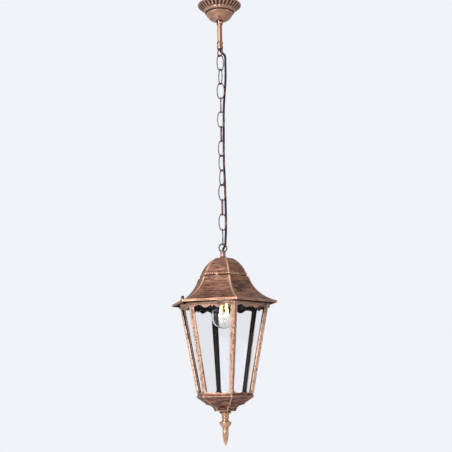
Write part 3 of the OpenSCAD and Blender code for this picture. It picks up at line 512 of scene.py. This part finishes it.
# %% A dressed copy of a part
FINISH = {
    "roof": roof_finish, "roof_cap": roof_finish, "top_ring": ring_finish, "base_cup": base_finish,
    "finial": finial_finish, "lantern_loop": chain_finish, "canopy": canopy_finish,
    "canopy_collar": canopy_finish, "stem": stem_finish, "top_loop": stem_finish,
    "thumb_screw": dark_finish, "collar_screw": dark_finish, "lampholder": porcelain_finish,
    "bulb_glass": bulb_finish, "bulb_cap": nickel_finish, "bulb_stem": bulb_stem_finish,
}
FINISH.update({f"post_{i}": post_finish for i in range(1, 7)})
FINISH.update({f"link_{i}": chain_finish for i in range(1, LINKS + 1)})
INNER_SIDES = ["top_ring", "roof", "base_cup"] + [f"post_{i}" for i in range(1, 7)]
WELD = 0.002 * MM
FLAT = math.radians(0.3)
SHARP = math.radians(35)
LOOKS_IN = -0.2
BODY_OF = {node: body for body, names in frame["record"]["behaviour"]["bodies"].items() for node in names}


def deselect():
    """Leave edit mode and deselect every object."""
    if bpy.context.mode != "OBJECT":
        bpy.ops.object.mode_set(mode="OBJECT")
    bpy.ops.object.select_all(action="DESELECT")


def pick(piece):
    """Select one piece, make it active, and leave everything else deselected."""
    deselect()
    piece.select_set(True)
    bpy.context.view_layer.objects.active = piece


def dress(node, finish):
    """Copy a part's mesh, weld it, join its flat triangles and shade it smooth up to sharp edges."""
    piece = bpy.data.objects.new(node + "_finished", frame["nodes"][node].data.copy())
    scene.collection.objects.link(piece)
    piece.data.materials.clear()
    piece.data.materials.append(finish)
    pick(piece)
    bpy.ops.object.mode_set(mode="EDIT")
    bpy.ops.mesh.select_all(action="SELECT")
    bpy.ops.mesh.remove_doubles(threshold=WELD)
    bpy.ops.mesh.dissolve_limited(angle_limit=FLAT)
    bpy.ops.object.mode_set(mode="OBJECT")
    bpy.ops.object.shade_smooth_by_angle(angle=SHARP)
    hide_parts(node)
    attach(piece, BODY_OF[node])
    return piece


def blacken_inside(piece):
    """Give the faces that look towards the lantern's axis a near-black finish."""
    piece.data.materials.append(inner_black)
    for face in piece.data.polygons:
        outward = Vector((face.center.x, face.center.y, 0)).normalized()
        if face.normal.dot(outward) < LOOKS_IN:
            face.material_index = 1


def finish_below(piece, finish, height):
    """Give the faces whose middle lies below a height a finish of their own."""
    piece.data.materials.append(finish)
    slot = len(piece.data.materials) - 1
    for face in piece.data.polygons:
        if face.center.z < height:
            face.material_index = slot


eye_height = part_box("link_1")[1].z + 13.2 * MM
ring_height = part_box("link_13")[0].z - 13.5 * MM
for node, finish in FINISH.items():
    piece = dress(node, finish)
    if node in INNER_SIDES:
        blacken_inside(piece)
    if node == "top_loop":
        finish_below(piece, chain_finish, eye_height)
    if node == "lantern_loop":
        finish_below(piece, stem_finish, ring_height)
print("dressed", len(FINISH), "parts")

# %% [markdown]
# ## A row of tongues under the dome
#
# The dome ends in a narrow band that the founder cut into a row of small tongues. They are too many
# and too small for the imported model, so they are added here. One tongue is a block with its top edge
# rolled over and a petal let into its face. It could be an array with a curve, but a six-sided row is
# plain enough to be placed by two loops, and a whole row joined into one piece stays light.

# %% One tongue, then the row
TONGUE_W = 2.8 * MM
TONGUE_H = 4.2 * MM
TONGUE_OUT = 1.6 * MM
TONGUE_PITCH = 5.1 * MM
TONGUES_BESIDE_LEAF = 4
TONGUE_ROLL = 0.45 * TONGUE_W
PETAL_RIM = 0.5 * MM
PETAL_DEPTH = 0.35 * MM
SAME = 0.001 * MM
band_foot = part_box("roof_cap")[0].z + 1.7 * MM
band_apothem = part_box("roof_cap")[1].x - 1.7 * MM


def select_faces(piece, wanted):
    """In edit mode: select the faces that the test picks, and nothing else."""
    bpy.ops.mesh.select_mode(type="FACE")
    bpy.ops.mesh.select_all(action="DESELECT")
    bpy.ops.object.mode_set(mode="OBJECT")
    for face in piece.data.polygons:
        face.select = wanted(face)
    bpy.ops.object.mode_set(mode="EDIT")


def select_edges(piece, wanted):
    """In edit mode: select the edges whose two ends the test picks, and nothing else."""
    bpy.ops.mesh.select_mode(type="EDGE")
    bpy.ops.mesh.select_all(action="DESELECT")
    bpy.ops.object.mode_set(mode="OBJECT")
    for edge in piece.data.edges:
        ends = [piece.data.vertices[i].co for i in edge.vertices]
        edge.select = wanted(*ends)
    bpy.ops.object.mode_set(mode="EDIT")


def copies_joined(piece, name, places):
    """Copies of a finished piece at several places, joined into one object with its place in its mesh."""
    deselect()
    copies = []
    for place in places:
        copy = bpy.data.objects.new(name, piece.data.copy())
        copy.data.transform(place)
        scene.collection.objects.link(copy)
        copy.select_set(True)
        copies.append(copy)
    bpy.context.view_layer.objects.active = copies[0]
    bpy.ops.object.join()
    bpy.data.objects.remove(piece)
    return copies[0]


deselect()
bpy.ops.mesh.primitive_cube_add(size=1, location=(0, 0, TONGUE_H / 2),
                                scale=(TONGUE_OUT, TONGUE_W, TONGUE_H))
tongue = bpy.context.object
bpy.ops.object.transform_apply(location=True, rotation=True, scale=True)
bpy.ops.object.mode_set(mode="EDIT")
select_edges(tongue, lambda a, b: abs(a.y - b.y) < SAME and min(a.z, b.z) > TONGUE_H - SAME)
bpy.ops.mesh.bevel(offset=TONGUE_ROLL, segments=4, affect="EDGES")
select_faces(tongue, lambda face: face.normal.x > 0.9)
bpy.ops.mesh.inset(thickness=PETAL_RIM, depth=-PETAL_DEPTH)
bpy.ops.object.mode_set(mode="OBJECT")
steps = [i for i in range(-TONGUES_BESIDE_LEAF, TONGUES_BESIDE_LEAF + 1) if i]
places = [Matrix.Rotation(math.radians(60 * side), 4, "Z")
          @ Matrix.Translation((band_apothem, step * TONGUE_PITCH, band_foot))
          for side in range(6) for step in steps]
tongues = copies_joined(tongue, "cap_tongues", places)
tongues.data.materials.append(roof_finish)
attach(tongues, "lantern")
print("tongues", len(places))

# %% [markdown]
# ## Fillets at the posts' feet
#
# Each post spreads where it meets the base: a thin web fills the corner on both sides with a hollow
# curve. A plane with one corner bevelled inwards has just that outline. It is extruded to the wall's
# thickness and leaned outwards with the pane before it is copied to the twelve corners.

# %% One fillet, then twelve
posts_low, posts_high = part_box("post_1")
foot_z, head_z = posts_low.z, posts_high.z
foot_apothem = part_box("base_cup")[1].x - 1.6 * MM
CAGE_HEAD_APOTHEM = 86.5 * MM
lean = math.atan2(CAGE_HEAD_APOTHEM - foot_apothem, head_z - foot_z)
FILLET_W = 6.5 * MM
FILLET_H = 9 * MM
FILLET_T = 1.2 * MM
FILLET_HOLLOW = 0.9 * FILLET_W
FILLET_ROOT = 1 * MM
OPENING_HALF = 26 * MM

deselect()
bpy.ops.mesh.primitive_plane_add(size=1, rotation=(0, math.radians(90), 0),
                                 location=(0, OPENING_HALF - FILLET_W / 2 + FILLET_ROOT, FILLET_H / 2))
fillet = bpy.context.object
fillet.scale = (FILLET_H, FILLET_W, 1)
bpy.ops.object.transform_apply(location=True, rotation=True, scale=True)
bpy.ops.object.mode_set(mode="EDIT")
bpy.ops.mesh.select_mode(type="VERT")
bpy.ops.mesh.select_all(action="DESELECT")
bpy.ops.object.mode_set(mode="OBJECT")
for vertex in fillet.data.vertices:
    vertex.select = vertex.co.z > FILLET_H / 2 and vertex.co.y < OPENING_HALF - FILLET_W / 2
bpy.ops.object.mode_set(mode="EDIT")
bpy.ops.mesh.bevel(offset=FILLET_HOLLOW, segments=8, profile=0.08, affect="VERTICES")
bpy.ops.mesh.select_all(action="SELECT")
bpy.ops.mesh.extrude_region_move(TRANSFORM_OT_translate={"value": (-FILLET_T, 0, 0)})
bpy.ops.mesh.select_all(action="SELECT")
bpy.ops.mesh.normals_make_consistent(inside=False)
bpy.ops.object.mode_set(mode="OBJECT")
pick(fillet)
bpy.ops.object.duplicate()
mirrored = bpy.context.object
mirrored.scale.y = -1
bpy.ops.object.transform_apply(location=False, rotation=False, scale=True)
bpy.ops.object.mode_set(mode="EDIT")
bpy.ops.mesh.select_all(action="SELECT")
bpy.ops.mesh.normals_make_consistent(inside=False)
bpy.ops.object.mode_set(mode="OBJECT")
fillet.select_set(True)
bpy.context.view_layer.objects.active = fillet
bpy.ops.object.join()
places = [Matrix.Rotation(math.radians(60 * side), 4, "Z")
          @ Matrix.Translation((foot_apothem + 0.1 * MM, 0, foot_z))
          @ Matrix.Rotation(lean, 4, "Y")
          for side in range(6)]
fillets = copies_joined(fillet, "post_foot_fillets", places)
fillets.data.materials.append(post_finish)
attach(fillets, "cage")
print("fillets lean", round(math.degrees(lean), 2), "degrees")

# %% [markdown]
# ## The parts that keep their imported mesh
#
# Flat panes, screws and brackets need no dressing. They only get a finish that suits their metal,
# plastic or glass.

# %% Finishes of the other parts
PANES = [f"glass_pane_{i}" for i in range(1, 7)]
others = {
    "ceiling_bracket": steel_finish, "stem_nuts": steel_finish, "shank_nuts": steel_finish,
    "bridge_strap": steel_finish, "hinge_pin": steel_finish, "ring_screws": steel_finish,
    "base_screws": steel_finish, "finial_nut": steel_finish, "terminal_block": plastic_finish,
    "bulb_filaments": filament_finish,
}
others.update({name: pane_finish for name in PANES})
for node, finish in others.items():
    part = frame["nodes"][node]
    part.data.materials.clear()
    part.data.materials.append(finish)
print("parts with a new finish", len(others))

# %% [markdown]
# ## The studio
#
# The lantern hangs in front of pale paper. The paper is a floor far below and, all round, what the
# camera sees of the room, while the room's own light is softer and even. Two large soft lamps stand
# left and right, the left one much stronger, so that the faces turned to the right go darker as they
# do on the real lantern. A third, low lamp brightens the scalloped edge from below.

# %% Backdrop, world and lamps
PAPER = (0.871, 0.896, 0.939)
GLOSSY_SHARE = 0.3
FLOOR_Z = -2.2
FLOOR_SIZE = 3.0
FLOOR_SEEN = 0.8
ROOM_LIGHT = (0.95, 0.97, 1.0)
ROOM_STRENGTH = 0.22
MIDDLE = (0, 0, -0.7)


def seen_share(owner, most=1.0):
    """How much of the plain paper colour a ray gets: all for the camera and through glass, less in metal."""
    path = add(owner, "ShaderNodeLightPath").outputs
    either = calculate(owner, "MAXIMUM", path["Is Camera Ray"], path["Is Transmission Ray"])
    share = add(owner, "ShaderNodeMath", {0: path["Is Glossy Ray"], 1: GLOSSY_SHARE, 2: either},
                operation="MULTIPLY_ADD", use_clamp=True)
    return calculate(owner, "MULTIPLY", share.outputs[0], most)


world = bpy.data.worlds.new("studio_room")
scene.world = world
world.use_nodes = True
world.node_tree.nodes.clear()
room = add(world, "ShaderNodeBackground", {"Color": (*ROOM_LIGHT, 1), "Strength": ROOM_STRENGTH})
seen = add(world, "ShaderNodeBackground", {"Color": (*PAPER, 1), "Strength": 1.0})
both = add(world, "ShaderNodeMixShader", {0: seen_share(world), 1: room.outputs[0], 2: seen.outputs[0]})
add(world, "ShaderNodeOutputWorld", {"Surface": both.outputs[0]})

floor_finish, floor_shader = new_material("floor_paper")
set_shader(floor_shader, PAPER, Roughness=0.9)
paper_glow = add(floor_finish, "ShaderNodeEmission", {"Color": (*PAPER, 1), "Strength": 1.0})
floor_look = add(floor_finish, "ShaderNodeMixShader", {0: seen_share(floor_finish, FLOOR_SEEN),
                                                       1: floor_shader.outputs[0], 2: paper_glow.outputs[0]})
floor_output = floor_finish.node_tree.nodes["Material Output"]
plug(floor_finish, floor_look.outputs[0], floor_output.inputs["Surface"])
deselect()
bpy.ops.mesh.primitive_plane_add(size=FLOOR_SIZE, location=(0, 0, FLOOR_Z))
floor = bpy.context.object
floor.name = "studio_floor"
floor.data.materials.append(floor_finish)


def lamp(name, location, size, power, colour):
    """A soft rectangular lamp that shines at the middle of the lantern; the power is in watts."""
    data = bpy.data.lights.new(name, "AREA")
    data.shape = "RECTANGLE"
    data.size, data.size_y = size
    data.energy = power
    data.color = colour
    light = bpy.data.objects.new(name, data)
    light.location = location
    aim = Vector(MIDDLE) - Vector(location)
    light.rotation_euler = aim.to_track_quat("-Z", "Y").to_euler()
    scene.collection.objects.link(light)
    return light


lamp("key_lamp", (-2.2, -1.9, 0.3), (1.2, 1.8), 95, (1.0, 0.97, 0.93))
lamp("fill_lamp", (2.2, -1.6, -0.2), (0.8, 1.6), 5, (0.95, 0.97, 1.0))
low = lamp("low_lamp", (-0.4, -2.2, -2.0), (1.6, 0.8), 12, (1.0, 0.98, 0.96))
low.visible_glossy = False
scene.view_settings.view_transform = "Standard"
